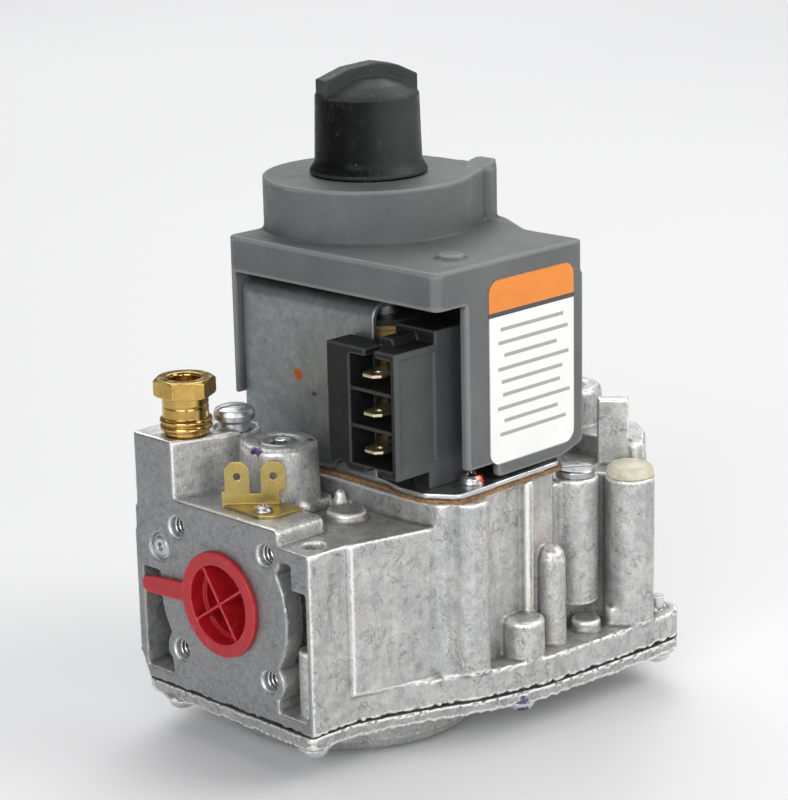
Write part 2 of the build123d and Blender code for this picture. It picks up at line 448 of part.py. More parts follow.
COIL_Z0, COIL_Z1 = 32.5, 68.5
for name, px, py in (("pilot", AX, AY), ("main", BX, BY)):
    tube = turned(px, py, [(4.45, Z_MID + 0.0), (5.9, Z_MID + 0.0), (5.9, Z_PLATE), (7.6, Z_PLATE + 0.02), (7.6, Z_PLATE + 1.2), (5.3, Z_PLATE + 1.2), (5.3, 76.6),
                           (5.0, 77.2), (0, 77.2), (0, 60.0), (4.45, 60.0)])
    save(f"{name}_core_tube", tube)
    bob = turned(px, py, [(5.4, COIL_Z0), (12.2, COIL_Z0), (12.2, COIL_Z0 + 1.4), (6.6, COIL_Z0 + 1.4), (6.6, COIL_Z1 - 1.4), (12.2, COIL_Z1 - 1.4), (12.2, COIL_Z1), (5.4, COIL_Z1)])
    save(f"{name}_coil_bobbin", bob)
    wind = turned(px, py, [(6.62, COIL_Z0 + 1.42), (11.4, COIL_Z0 + 1.42), (11.7, COIL_Z0 + 4), (11.7, COIL_Z1 - 4), (11.4, COIL_Z1 - 1.42), (6.62, COIL_Z1 - 1.42)])
    save(f"{name}_coil_winding", wind)
    pl = turned(px, py, [(0, 22.4), (3.9, 22.4), (3.9, 23.4), (4.4, 23.4), (4.4, 50.0), (3.6, 50.0), (3.6, 50.8), (0, 50.8)]) - cyl(px, py, 47.0, 52, 2.0)
    save(f"{name}_plunger", pl)
    dv = turned(px, py, [(0, 20.6), (3.6, 20.6), (3.9, 21.0), (3.9, 22.4), (0, 22.4)])
    save(f"{name}_valve_disc", dv)
    save(f"{name}_plunger_spring", coil_spring(px, py, 51.0, 59.9, 3.0, 0.6, 5.5))

# ---------------------------------------------------------------- terminal block
BY0, BY1 = -36.2, -11.5
BX0 = 28.4
tb = prism([(BX0, BY0, 0.5), (43.6, BY0, 0.3), (43.6, -20.4, 0.3), (37.4, -20.4, 0.3), (37.4, BY1, 0.4), (BX0, BY1, 0.5)], 33.2, 66.0)
# scalloped underside
tb -= Pos(BX0 - 1, -16.0, 32.6) * Rot(0, 90, 0) * Cylinder(2.4, 12, align=(C, C, M))
tb -= Pos(BX0 - 1, -27.4, 31.4) * Rot(0, 90, 0) * Cylinder(3.6, 12, align=(C, C, M))
tb += box(43.0, 53.4, BY0, -22.0, Z_PLATE + 0.1, 69.4)
tb += box(40.4, 46.0, BY0, -30.0, Z_PLATE + 0.1, 34.0)
tb -= box(BX0 - 1, 41.0, -34.4, -19.7, 35.4, 64.0)
for zd in (44.6, 54.4):
    tb += box(BX0 + 0.6, 41.2, -34.6, -19.5, zd, zd + 1.0)
tb -= Pos(BX0 - 1, -27.2, 64.6) * Rot(0, 90, 0) * Cylinder(1.9, 7.0, align=(C, C, M))
tb += (Pos(BX0 + 6, -27.2, 66.0) * Rot(0, 90, 0) * Cylinder(2.6, 9.0, align=(C, C, M))) & box(BX0 + 6, 60, -40, -10, 65.0, 68)
# raised margin round the front panel and stepped plate behind it
tb -= box(BX0 + 1.6, 42.6, BY0 - 1, BY0 + 0.45, 35.4, 64.4)
BLADE_Z = (39.6, 49.4, 59.4)
for zb in BLADE_Z:
    tb -= box(40, 47, -30.4, -24.0, zb - TAB_T / 2 - 0.02, zb + TAB_T / 2 + 0.02)
save("terminal_block", tb)
bl = []
for zb in BLADE_Z:
    pts = [(46.5, -24.05), (46.5, -30.35), (29.4, -30.35), (27.6, -28.9), (27.6, -25.5), (29.4, -24.05)]
    b = extrude(Pos(0, 0, zb - TAB_T / 2) * make_face(Polyline(*pts, close=True)), amount=TAB_T)
    b -= cyl(31.2, -27.2, zb - 2, zb + 2, 0.95)
    bl.append(b.solids()[0])
save("terminal_blades", Compound(children=bl))

# ---------------------------------------------------------------- cover
SLAB = [(COVER_X0, COVER_Y0, 2.2), (COVER_X1, COVER_Y0, 1.6), (COVER_X1, -24.0, 9.0), (100.5, -8.0, 9.0), (101.2, 28.0, 14.0), (88.0, 43.4, 16.0),
        (60.0, 43.4, 14.0), (50.0, COVER_Y1, 4.0), (COVER_X0, COVER_Y1, 2.2)]


def inset(pts, t):
    f = offset(outline(pts), amount=-t)
    return f


def slab_solid(t, z0, z1):
    f = outline(SLAB) if t == 0 else inset(SLAB, t)
    return extrude(Pos(0, 0, z0) * f, amount=z1 - z0)


def turret_face(grow):
    r = TURRET_R + grow
    big = Pos(KX, KY) * Circle(r)
    # shoulder that runs out from the round turret towards the outlet side
    ear = Pos(95.2, -4.0) * Circle(4.4 + grow)
    a0 = (KX, KY)
    quad = make_face(Polyline((KX + 4.0, KY - r + 0.25), (95.2 - 2.6, -4.0 - 4.4 - grow + 0.9), (95.2 + 4.4 + grow, -4.0 + 0.5), (KX + r - 0.3, KY + 6.0), (KX, KY), close=True))
    return big + ear + quad


shell = slab_solid(0, Z_SKIRT, Z_SLAB)
tur = extrude(Pos(0, 0, Z_SLAB - 1) * turret_face(0), amount=Z_TURRET - Z_SLAB + 1)
shell = shell + tur
cavity = slab_solid(SHELL_T, Z_SKIRT - 1, Z_SLAB - SHELL_T)
cavity += extrude(Pos(0, 0, Z_SLAB - 4) * turret_face(-SHELL_T), amount=Z_TURRET - SHELL_T - Z_SLAB + 4)
rim = ring_edges(shell, Z_TURRET)
shell = soften(shell, rim, 2.0)
rim = [e for e in ring_edges(shell, Z_SLAB) if e.bounding_box().min.X < 60 or e.bounding_box().max.Y < 0]
shell = soften(shell, rim, 1.2)
shell -= cavity
# label wall with a stepped lower edge and a chamfered far corner
wall = prism_xz([(46.4, Z_SKIRT + 1, 0.1), (46.4, 33.2, 0.5), (57.6, 33.2, 0.4), (57.6, 29.2, 1.0), (83.0, 29.2, 2.0), (COVER_X1, 31.6, 1.5), (COVER_X1, Z_SKIRT + 1, 0.1)],
                COVER_Y0, COVER_Y0 + SHELL_T)
shell += wall
shell += cyl(48.0, COVER_Y0 + 1.6, 33.2, Z_SKIRT + 0.5, 1.6)
# outlet side wall and rear wall follow the slab outline
skirt = slab_solid(0, 30.2, Z_SKIRT + 0.5) - slab_solid(SHELL_T, 29, Z_SKIRT + 2)
skirt -= box(30, 49, -60, 60, 20, Z_SKIRT)
skirt -= box(48, 90.9, -60, -20, 20, Z_SKIRT)
skirt2 = (slab_solid(0, 43.0, Z_SKIRT + 0.5) - slab_solid(SHELL_T, 29, Z_SKIRT + 2)) & box(34, 50, 26, 60, 40, 80)
skirt2 -= box(30, COVER_X0 + SHELL_T + 0.2, 20, COVER_Y1 - SHELL_T, 20, Z_SKIRT)
shell += skirt
shell += skirt2
shell -= cyl(KX, KY, 90, 110, 14.9)
# upturned lip at the end of the shoulder
shell += prism_xz([(91.4, Z_TURRET - 1.5, 0), (91.4, Z_TURRET + 0.02, 0), (97.6, Z_TURRET + 2.1, 0), (98.9, Z_TURRET + 1.7, 0), (99.7, Z_TURRET - 0.6, 0), (99.7, Z_TURRET - 1.5, 0)], -8.5, 0.5) & cyl(95.2, -4.0, 90, 110, 4.15)
# locating collar under the knob opening, small raised pad on the slab
shell += cyl(KX, KY, Z_TURRET - 6.0, Z_TURRET - 1.0, 17.2) - cyl(KX, KY, 90, 110, 14.9)
shell += turned(52.0, -33.5, [(0, Z_SLAB - 1), (3.6, Z_SLAB - 1), (3.6, Z_SLAB + 0.9), (3.2, Z_SLAB + 1.3), (0, Z_SLAB + 1.3)])
save("top_cover", shell)

lab = prism_xz([(54.4, 32.6, 4.0), (54.4, 81.2, 4.0), (87.2, 81.2, 4.0), (87.2, 32.6, 4.0)], COVER_Y0 - 0.16, COVER_Y0 - 0.01)
save("cover_label", lab)

# ---------------------------------------------------------------- knob
knob = turned(KX, KY, [(0, 100.75), (15.7, 100.75), (15.9, 101.0), (15.9, 101.6), (14.75, 103.4), (14.45, 104.6), (13.95, Z_RIM - 0.3), (13.6, Z_RIM),
                       (10.0, 124.2), (6.0, 126.0), (0, 127.0)])
grip = prism_xz([(-13.7, Z_RIM - 3, 0.1), (-13.7, 126.1, 0.3), (-6.5, 128.9, 3.0), (2.2, 130.0, 6.0), (8.0, 128.9, 4.0), (13.7, 126.2, 0.3), (13.7, Z_RIM - 3, 0.1)], -3.1, 3.1)
grip = Pos(KX, KY, 0) * Rot(0, 0, GRIP_ANGLE) * grip
grip = grip & cyl(KX, KY, 90, 140, 14.0)
knob += grip
# hub socket underneath, open at the bottom
knob -= cyl(KX, KY, 100, 118.0, 12.4)
knob += cyl(KX, KY, 100.75, 119.0, 6.4)
for a in (0, 90, 180, 270):
    knob += Pos(KX, KY, 100.75) * Rot(0, 0, a + 30) * Pos(9.2, 0, 0) * Box(7.0, 1.2, 18.0, align=(C, C, M))
knob -= cyl(KX, KY, 100, 114.0, 4.0) - box(KX + 2.82, KX + 6, KY - 6, KY + 6, 103.0, 120)
save("control_knob", knob)
shaft = cyl(KX, KY, 17.6, 114.0, 3.98) - box(KX + 2.8, KX + 6, KY - 6, KY + 6, 103.0, 120)
shaft += cyl(KX, KY, 76.0, 77.2, 6.6)
save("knob_shaft", shaft)
cock = cyl(KX, KY, 15.1, 20.6, 7.4 - RUN) - cyl(KX, KY, 17.6, 21.0, 3.98) - cyl(KX + 4.9, KY, 14, 22, 1.6) - cyl(KX, KY + 4.9, 14, 22, 1.0)
save("gas_cock_rotor", cock)
print("done")
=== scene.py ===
import json
import math
import bpy
import numpy as np
from mathutils import Matrix, Vector


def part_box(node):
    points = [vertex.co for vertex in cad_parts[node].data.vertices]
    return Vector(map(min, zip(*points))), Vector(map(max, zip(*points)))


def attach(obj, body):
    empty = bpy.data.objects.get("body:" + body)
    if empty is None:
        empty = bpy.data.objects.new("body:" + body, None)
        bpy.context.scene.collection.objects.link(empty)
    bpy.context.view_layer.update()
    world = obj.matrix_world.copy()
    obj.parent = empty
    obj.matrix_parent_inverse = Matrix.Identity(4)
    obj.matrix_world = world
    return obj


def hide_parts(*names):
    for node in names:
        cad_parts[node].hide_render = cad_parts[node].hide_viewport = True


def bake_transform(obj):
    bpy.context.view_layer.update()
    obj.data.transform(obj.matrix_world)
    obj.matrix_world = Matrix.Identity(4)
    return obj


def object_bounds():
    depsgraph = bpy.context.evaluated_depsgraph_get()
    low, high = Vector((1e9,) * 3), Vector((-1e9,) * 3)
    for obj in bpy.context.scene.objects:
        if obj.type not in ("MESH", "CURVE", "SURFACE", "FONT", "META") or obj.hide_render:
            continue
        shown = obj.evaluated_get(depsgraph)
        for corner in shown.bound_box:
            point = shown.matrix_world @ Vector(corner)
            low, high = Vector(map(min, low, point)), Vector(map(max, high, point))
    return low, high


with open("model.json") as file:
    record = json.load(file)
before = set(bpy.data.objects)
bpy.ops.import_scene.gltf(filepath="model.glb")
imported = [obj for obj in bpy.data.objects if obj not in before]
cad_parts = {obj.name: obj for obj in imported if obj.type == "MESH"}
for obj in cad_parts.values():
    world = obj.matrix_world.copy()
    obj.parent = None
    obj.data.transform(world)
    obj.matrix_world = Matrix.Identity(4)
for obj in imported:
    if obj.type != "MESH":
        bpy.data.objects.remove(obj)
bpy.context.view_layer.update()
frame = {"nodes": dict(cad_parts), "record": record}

NODES = frame["nodes"]
BODY_OF = {n: b for b, ns in frame["record"]["behaviour"]["bodies"].items() for n in ns}
SLOT_OF = {s["node"]: s["material_slot"] for s in frame["record"]["subparts"]}
MM = 0.001


# ------------------------------------------------------------------ shader kit
class Shader:
    """A procedural material. Coordinates are the row frame's millimetres."""

    def __init__(self, name, **sockets):
        self.m = bpy.data.materials.new(name)
        self.m.use_nodes = True
        self.t = self.m.node_tree
        self.b = self.t.nodes["Principled BSDF"]
        for k, v in sockets.items():
            self.b.inputs[k.replace("_", " ")].default_value = v
        tc = self.t.nodes.new("ShaderNodeTexCoord")
        mp = self.t.nodes.new("ShaderNodeMapping")
        mp.inputs["Scale"].default_value = (1000, 1000, 1000)
        self.t.links.new(tc.outputs["Object"], mp.inputs["Vector"])
        self.p = mp.outputs["Vector"]
        self._xyz = None

    def put(self, sock, v):
        if isinstance(v, bpy.types.NodeSocket):
            self.t.links.new(v, sock)
        elif isinstance(v, (tuple, list)) and len(v) == 3 and sock.type == "RGBA":
            sock.default_value = (*v, 1)
        else:
            sock.default_value = v

    def xyz(self):
        if not self._xyz:
            s = self.t.nodes.new("ShaderNodeSeparateXYZ")
            self.t.links.new(self.p, s.inputs[0])
            self._xyz = s.outputs
        return self._xyz

    def scaled(self, sx, sy, sz, at=(0, 0, 0)):
        mp = self.t.nodes.new("ShaderNodeMapping")
        mp.inputs["Scale"].default_value = (sx, sy, sz)
        mp.inputs["Location"].default_value = at
        self.t.links.new(self.p, mp.inputs["Vector"])
        return mp.outputs["Vector"]

    def noise(self, size, detail=4.0, rough=0.55, warp=0.0, vec=None, seed=0.0):
        n = self.t.nodes.new("ShaderNodeTexNoise")
        n.noise_dimensions = "4D"
        self.put(n.inputs["Vector"], vec or self.p)
        n.inputs["W"].default_value = seed
        n.inputs["Scale"].default_value = 1.0 / size
        n.inputs["Detail"].default_value = detail
        n.inputs["Roughness"].default_value = rough
        n.inputs["Distortion"].default_value = warp
        return n.outputs["Fac"]

    def cells(self, size, feature="F1", vec=None, rand=1.0):
        n = self.t.nodes.new("ShaderNodeTexVoronoi")
        n.feature = feature
        self.put(n.inputs["Vector"], vec or self.p)
        n.inputs["Scale"].default_value = 1.0 / size
        n.inputs["Randomness"].default_value = rand
        return n.outputs["Distance"]

    def ramp(self, fac, *stops):
        n = self.t.nodes.new("ShaderNodeValToRGB")
        self.put(n.inputs[0], fac)
        e = n.color_ramp.elements
        while len(e) < len(stops):
            e.new(0.5)
        for el, (pos, c) in zip(e, stops):
            el.position = pos
            el.color = (c, c, c, 1) if isinstance(c, (int, float)) else (*c, 1)
        return n.outputs["Color"]

    def step(self, v, lo, hi):
        n = self.t.nodes.new("ShaderNodeMapRange")
        n.interpolation_type = "SMOOTHSTEP"
        self.put(n.inputs["Value"], v)
        n.inputs["From Min"].default_value = lo
        n.inputs["From Max"].default_value = hi
        return n.outputs["Result"]

    def line(self, v, lo, hi, a, b):
        n = self.t.nodes.new("ShaderNodeMapRange")
        self.put(n.inputs["Value"], v)
        for k, x in (("From Min", lo), ("From Max", hi), ("To Min", a), ("To Max", b)):
            n.inputs[k].default_value = x
        return n.outputs["Result"]

    def math(self, op, a, b=0.0, clamp=False):
        n = self.t.nodes.new("ShaderNodeMath")
        n.operation = op
        n.use_clamp = clamp
        self.put(n.inputs[0], a)
        self.put(n.inputs[1], b)
        return n.outputs[0]

    def mix(self, fac, a, b, mode="MIX"):
        n = self.t.nodes.new("ShaderNodeMix")
        n.data_type = "RGBA"
        n.blend_type = mode
        self.put(n.inputs[0], fac)
        self.put(n.inputs[6], a)
        self.put(n.inputs[7], b)
        return n.outputs[2]

    def attr(self, name="edge"):
        n = self.t.nodes.new("ShaderNodeAttribute")
        n.attribute_name = name
        return n.outputs["Fac"]

    def near(self, at, r, wobble=0.0, size=2.0):
        """1 within r mm of a point, with a ragged border."""
        n = self.t.nodes.new("ShaderNodeVectorMath")
        n.operation = "DISTANCE"
        self.t.links.new(self.p, n.inputs[0])
        n.inputs[1].default_value = at
        d = n.outputs["Value"]
        if wobble:
            d = self.math("ADD", d, self.line(self.noise(size, 3), 0.3, 0.7, -wobble, wobble))
        return self.step(d, r, r - 0.25)

    def bump(self, *layers):
        """layers: (height, depth in mm)"""
        last = None
        for h, d in layers:
            n = self.t.nodes.new("ShaderNodeBump")
            n.inputs["Distance"].default_value = d * MM
            self.put(n.inputs["Height"], h)
            if last:
                self.t.links.new(last, n.inputs["Normal"])
            last = n.outputs["Normal"]
        self.t.links.new(last, self.b.inputs["Normal"])

    def out(self, **sockets):
        for k, v in sockets.items():
            self.put(self.b.inputs[k.replace("_", " ")], v)
        return self.m


def scratches(s, size=6.0, seed=1.0, ang=0.4, thin=0.985):
    """A few thin pale lines: stretched noise crests."""
    mp = s.t.nodes.new("ShaderNodeMapping")
    mp.inputs["Rotation"].default_value = (ang, 0.7 * ang, 1.3 * ang + seed)
    mp.inputs["Scale"].default_value = (0.16, 1.9, 1.9)
    s.t.links.new(s.p, mp.inputs["Vector"])
    n = s.noise(size * 0.22, 1.5, 0.5, 0.0, mp.outputs["Vector"], seed)
    ridge = s.math("SUBTRACT", 1.0, s.math("ABSOLUTE", s.math("MULTIPLY", s.math("SUBTRACT", n, 0.5), 2.0)))
    keep = s.step(s.noise(size * 1.7, 2, 0.5, 0, None, seed + 3), 0.58, 0.66)
    return s.math("MULTIPLY", s.step(ridge, thin, 0.999), keep)


def cast(name, tone=1.0, plain_face=True, marks=(), sandy=1.0):
    s = Shader(name, Metallic=0.78, Roughness=0.5)
    x, y, z = s.xyz()[0], s.xyz()[1], s.xyz()[2]
    blot = s.noise(9, 5, 0.6, 0.6, seed=1)
    flow = s.noise(5, 4, 0.6, 1.2, s.scaled(1.0, 1.0, 0.22), 2)
    speck = s.noise(0.75, 3, 0.7, 0, seed=3)
    fine = s.noise(0.32, 2, 0.6, 0, seed=4)
    base = s.ramp(blot, (0.25, tuple(c * tone for c in (0.34, 0.35, 0.352))), (0.5, tuple(c * tone for c in (0.50, 0.505, 0.50))), (0.75, tuple(c * tone for c in (0.69, 0.67, 0.63))))
    base = s.mix(0.45, base, s.ramp(flow, (0.3, (0.45 * tone, 0.46 * tone, 0.465 * tone)), (0.65, (0.74 * tone, 0.735 * tone, 0.715 * tone))))
    # sandy mottle of a tumbled casting
    mott = s.ramp(speck, (0.36, 0.55), (0.5, 0.98), (0.66, 1.30))
    base = s.mix(0.26 * sandy, base, mott, "MULTIPLY")
    cloud = s.noise(2.6, 4, 0.62, 0.5, seed=26)
    base = s.mix(0.60, base, s.ramp(cloud, (0.34, 0.66), (0.5, 0.94), (0.68, 1.16)), "MULTIPLY")
    # thin flow lines left by the metal front
    vein = s.noise(7.5, 4, 0.6, 1.6, s.scaled(1.0, 1.0, 0.6), 21)
    veins = s.math("MULTIPLY", s.step(s.math("ABSOLUTE", s.math("SUBTRACT", vein, 0.5)), 0.022, 0.004), s.step(s.noise(6.0, 2, 0.5, 0.3, seed=22), 0.47, 0.56))
    base = s.mix(s.math("MULTIPLY", veins, 0.55), base, (0.15, 0.15, 0.145))
    dusk = s.step(s.noise(3.4, 5, 0.72, 0.8, seed=23), 0.54, 0.70)
    base = s.mix(s.math("MULTIPLY", dusk, 0.42 * sandy), base, (0.24, 0.24, 0.235))
    pits = s.step(s.noise(1.1, 3, 0.75, 0.3, seed=6), 0.645, 0.71)
    base = s.mix(s.math("MULTIPLY", pits, 0.72), base, (0.12, 0.12, 0.115))
    e = s.attr()
    # convex edges: rubbed wear and a painted edge highlight; hollows: painted crevice shade
    wear_and_edge_highlight = s.step(s.math("ADD", e, s.line(speck, 0.3, 0.7, -0.25, 0.25)), 0.22, 0.75)
    painted_crevice_shade = s.step(s.math("MULTIPLY", e, -1.0), 0.15, 0.9)
    if plain_face:
        # bright ragged flash round the slanted panel of the inlet block
        jag = s.line(s.noise(1.6, 3, 0.6, 0, seed=31), 0.3, 0.7, -0.22, 0.22)
        up = s.math("ABSOLUTE", s.math("SUBTRACT", s.math("ADD", x, jag), 13.6))
        low = s.math("ABSOLUTE", s.math("ADD", s.math("ADD", z, jag), 20.2))
        fl = s.math("MAXIMUM", s.math("MULTIPLY", s.step(up, 0.42, 0.24), s.math("MULTIPLY", s.step(z, -20.4, -19.8), s.step(z, 20.6, 20.0))),
                    s.math("MULTIPLY", s.step(low, 0.40, 0.22), s.math("MULTIPLY", s.step(x, 13.4, 14.0), s.step(x, 47.0, 44.0))))
        fl = s.math("MULTIPLY", fl, s.step(y, -33.3, -33.9))
        base = s.mix(s.math("MULTIPLY", fl, 0.8), base, (0.90, 0.89, 0.85))
    # edges lighter from wear and a painted highlight, hollows darker from painted shade
    base = s.mix(s.math("MULTIPLY", wear_and_edge_highlight, 0.85), base, (0.95, 0.94, 0.91))
    base = s.mix(s.math("MULTIPLY", painted_crevice_shade, 0.62), base, (0.17, 0.165, 0.15))
    # faint drying stain near joints
    stain = s.math("MULTIPLY", s.step(s.noise(14, 3, 0.5, 0.5, seed=9), 0.58, 0.72), 0.24)
    base = s.mix(stain, base, (0.50, 0.42, 0.27))
    if plain_face:
        # ground flat end faces: smoother and darker
        fm = s.math("MAXIMUM", s.step(x, 0.35, 0.15), s.step(x, 126.65, 126.85))
        swirl = s.noise(3.2, 5, 0.6, 2.2, seed=12)
        face = s.ramp(swirl, (0.28, (0.20, 0.21, 0.215)), (0.5, (0.29, 0.30, 0.305)), (0.72, (0.37, 0.375, 0.37)))
        sw = s.noise(8.0, 3, 0.55, 3.0, seed=24)
        swl = s.math("MULTIPLY", s.step(s.math("ABSOLUTE", s.math("SUBTRACT", sw, 0.52)), 0.020, 0.003), s.step(s.noise(9.0, 2, 0.5, 0.3, seed=25), 0.44, 0.54))
        face = s.mix(s.math("MULTIPLY", swl, 0.6), face, (0.09, 0.09, 0.09))
        base = s.mix(s.math("MULTIPLY", fm, 0.86), base, face)
    for at, r, w, col in marks:
        base = s.mix(s.math("MULTIPLY", s.near(at, r, w, 1.4), 0.85), base, col)
    rgh = s.line(s.noise(3.0, 4, 0.6, 0, seed=14), 0.3, 0.7, 0.36, 0.56)
    rgh = s.math("SUBTRACT", rgh, s.math("MULTIPLY", wear_and_edge_highlight, 0.12))
    s.bump((s.noise(5.0, 3, 0.5, 0.4, seed=5), 0.28), (speck, 0.16 * sandy), (fine, 0.07), (pits, -0.10), (scratches(s, 9, 4.0, 0.9), -0.03))
    return s.out(Base_Color=base, Roughness=rgh)


def plastic_grey():
    s = Shader("moulded grey", Roughness=0.5)
    s.b.inputs["Specular IOR Level"].default_value = 0.42
    big = s.noise(22, 4, 0.55, 0.5, seed=1)
    base = s.ramp(big, (0.3, (0.104, 0.113, 0.112)), (0.7, (0.138, 0.148, 0.145)))
    grain = s.noise(0.42, 2, 0.6, seed=2)
    base = s.mix(0.55, base, s.ramp(grain, (0.3, 0.70), (0.7, 1.22)), "MULTIPLY")
    e = s.attr()
    # convex edges lighter: wear and a painted edge highlight; hollows darker: painted crevice shade
    base = s.mix(s.math("MULTIPLY", s.step(e, 0.15, 0.7), 0.45), base, (0.29, 0.30, 0.295))
    base = s.mix(s.math("MULTIPLY", s.step(s.math("MULTIPLY", e, -1.0), 0.15, 0.8), 0.4), base, (0.05, 0.052, 0.05))
    sc = scratches(s, 8, 2.0, 0.5)
    sc2 = scratches(s, 5, 5.5, 1.4)
    base = s.mix(s.math("MULTIPLY", sc, 0.45), base, (0.30, 0.31, 0.30))
    base = s.mix(s.math("MULTIPLY", sc2, 0.35), base, (0.05, 0.05, 0.05))
    scuff = s.math("MULTIPLY", s.step(s.noise(4.2, 4, 0.65, 0.8, seed=8), 0.64, 0.74), 0.22)
    base = s.mix(scuff, base, (0.20, 0.205, 0.20))
    s.bump((s.noise(1.1, 3, 0.6, seed=3), 0.055), (grain, 0.05), (s.noise(16, 2, 0.5, seed=4), 0.25))
    return s.out(Base_Color=base, Roughness=s.line(s.noise(6, 4, 0.6, seed=6), 0.3, 0.7, 0.42, 0.58))


def plastic_black(name, tone=0.014, gloss=0.36, dust=0.5, seed=0.0, level=0.5, pale=None):
    s = Shader(name, Roughness=gloss)
    s.b.inputs["Specular IOR Level"].default_value = level
    cloud = s.noise(7, 5, 0.65, 0.6, seed=1 + seed)
    base = s.ramp(cloud, (0.3, (tone * 0.75, tone * 0.78, tone * 0.8)), (0.7, (tone * 1.7, tone * 1.75, tone * 1.75)))
    e = s.attr()
    # convex edges lighter: edge wear and a painted edge highlight
    base = s.mix(s.math("MULTIPLY", s.step(e, 0.15, 0.8), 0.35), base, (0.10, 0.10, 0.10))
    haze = s.math("MULTIPLY", s.step(s.noise(2.6, 5, 0.7, 0.4, seed=3 + seed), 0.52, 0.75), 0.16 * dust)
    base = s.mix(haze, base, (0.22, 0.22, 0.22))
    if pale:
        # a greyer mask from the caller: dust on the knob's top, a painted sheen on the knob's side, painted light on
        # the block's front panel
        mask, colour = pale(s)
        base = s.mix(s.math("MULTIPLY", mask, s.line(cloud, 0.3, 0.7, 0.75, 1.0)), base, colour)
    sp = s.math("MULTIPLY", s.step(s.cells(1.9), 0.10, 0.05), s.step(s.noise(5, 2, 0.5, seed=5 + seed), 0.56, 0.62))
    sc = scratches(s, 5, 1.0 + seed, 0.8, 0.992)
    base = s.mix(s.math("MULTIPLY", s.math("MAXIMUM", sp, sc), 0.75 * dust), base, (0.45, 0.45, 0.44))
    s.bump((s.noise(0.8, 3, 0.6, seed=7 + seed), 0.05), (s.noise(3.4, 3, 0.5, seed=8 + seed), 0.10), (sc, -0.02))
    return s.out(Base_Color=base, Roughness=s.line(s.noise(3, 5, 0.65, seed=9 + seed), 0.3, 0.7, gloss - 0.08, gloss + 0.13))


def knob_dust_and_sheen(s):
    x, y, z = s.xyz()[0], s.xyz()[1], s.xyz()[2]
    # greyer mask: the band on the knob's right-hand side is a painted sheen from the key light, the band on the top
    # is dust
    u = s.math("SUBTRACT", x, s.math("ADD", y, 56.5))
    side = s.math("MULTIPLY", s.step(u, -4.0, 13.0), 0.85)
    return s.math("MAXIMUM", side, s.math("MULTIPLY", s.step(z, 120.5, 123.5), 0.8)), (0.060, 0.066, 0.062)


def block_front_painted_light(s):
    # the front panel is painted lighter than the sides: painted light on the lit face of the same moulding
    return s.step(s.xyz()[1], -35.3, -35.7), (0.072, 0.081, 0.079)


def metal(name, lo, hi, rough=0.3, grain=(1, 1, 1), size=1.2, metallic=1.0, depth=0.02, dirt=0.3, seed=0.0, marks=()):
    s = Shader(name, Metallic=metallic, Roughness=rough)
    g = s.noise(size, 4, 0.65, 0.2, s.scaled(*grain), seed)
    blot = s.noise(4.5, 4, 0.6, 0.8, seed=seed + 2)
    base = s.ramp(blot, (0.28, lo), (0.72, hi))
    base = s.mix(0.4, base, s.ramp(g, (0.3, 0.72), (0.7, 1.2)), "MULTIPLY")
    e = s.attr()
    # convex edges lighter: edge wear and a painted edge highlight
    base = s.mix(s.math("MULTIPLY", s.step(e, 0.2, 0.8), 0.45), base, tuple(min(1.0, c * 1.35) for c in hi))
    spots = s.math("MULTIPLY", s.step(s.noise(1.3, 4, 0.75, 0.4, seed=seed + 5), 0.63, 0.72), dirt)
    base = s.mix(spots, base, tuple(c * 0.28 for c in lo))
    for at, r, w, col in marks:
        base = s.mix(s.math("MULTIPLY", s.near(at, r, w, 1.4), 0.92), base, col)
    s.bump((g, depth), (s.noise(5, 2, 0.5, seed=seed + 7), 0.06))
    return s.out(Base_Color=base, Roughness=s.line(s.noise(2.2, 4, 0.6, seed=seed + 9), 0.3, 0.7, rough - 0.08, rough + 0.12))


def red_plug():
    s = Shader("red moulding", Roughness=0.32)
    s.b.inputs["Subsurface Weight"].default_value = 0.12
    s.b.inputs["Subsurface Radius"].default_value = (0.004, 0.0008, 0.0006)
    s.b.inputs["Subsurface Scale"].default_value = 0.3
    base = s.ramp(s.noise(6, 4, 0.6, 0.4, seed=1), (0.3, (0.36, 0.006, 0.012)), (0.7, (0.47, 0.010, 0.018)))
    e = s.attr()
    # convex edges lighter: edge wear and a painted edge highlight
    base = s.mix(s.math("MULTIPLY", s.step(e, 0.15, 0.8), 0.35), base, (0.60, 0.04, 0.05))
    sc = s.math("MAXIMUM", scratches(s, 4, 2.0, 0.6), scratches(s, 3, 6.0, 1.7))
    haze = s.math("MULTIPLY", s.step(s.noise(2.0, 4, 0.7, 0.5, seed=4), 0.55, 0.72), 0.30)
    base = s.mix(s.math("MAXIMUM", s.math("MULTIPLY", sc, 0.55), haze), base, (0.78, 0.16, 0.17))
    s.bump((s.noise(1.4, 3, 0.6, seed=5), 0.05), (s.noise(0.4, 2, 0.5, seed=6), 0.015))
    return s.out(Base_Color=base, Roughness=s.line(s.noise(2.4, 4, 0.6, seed=7), 0.3, 0.7, 0.24, 0.46))


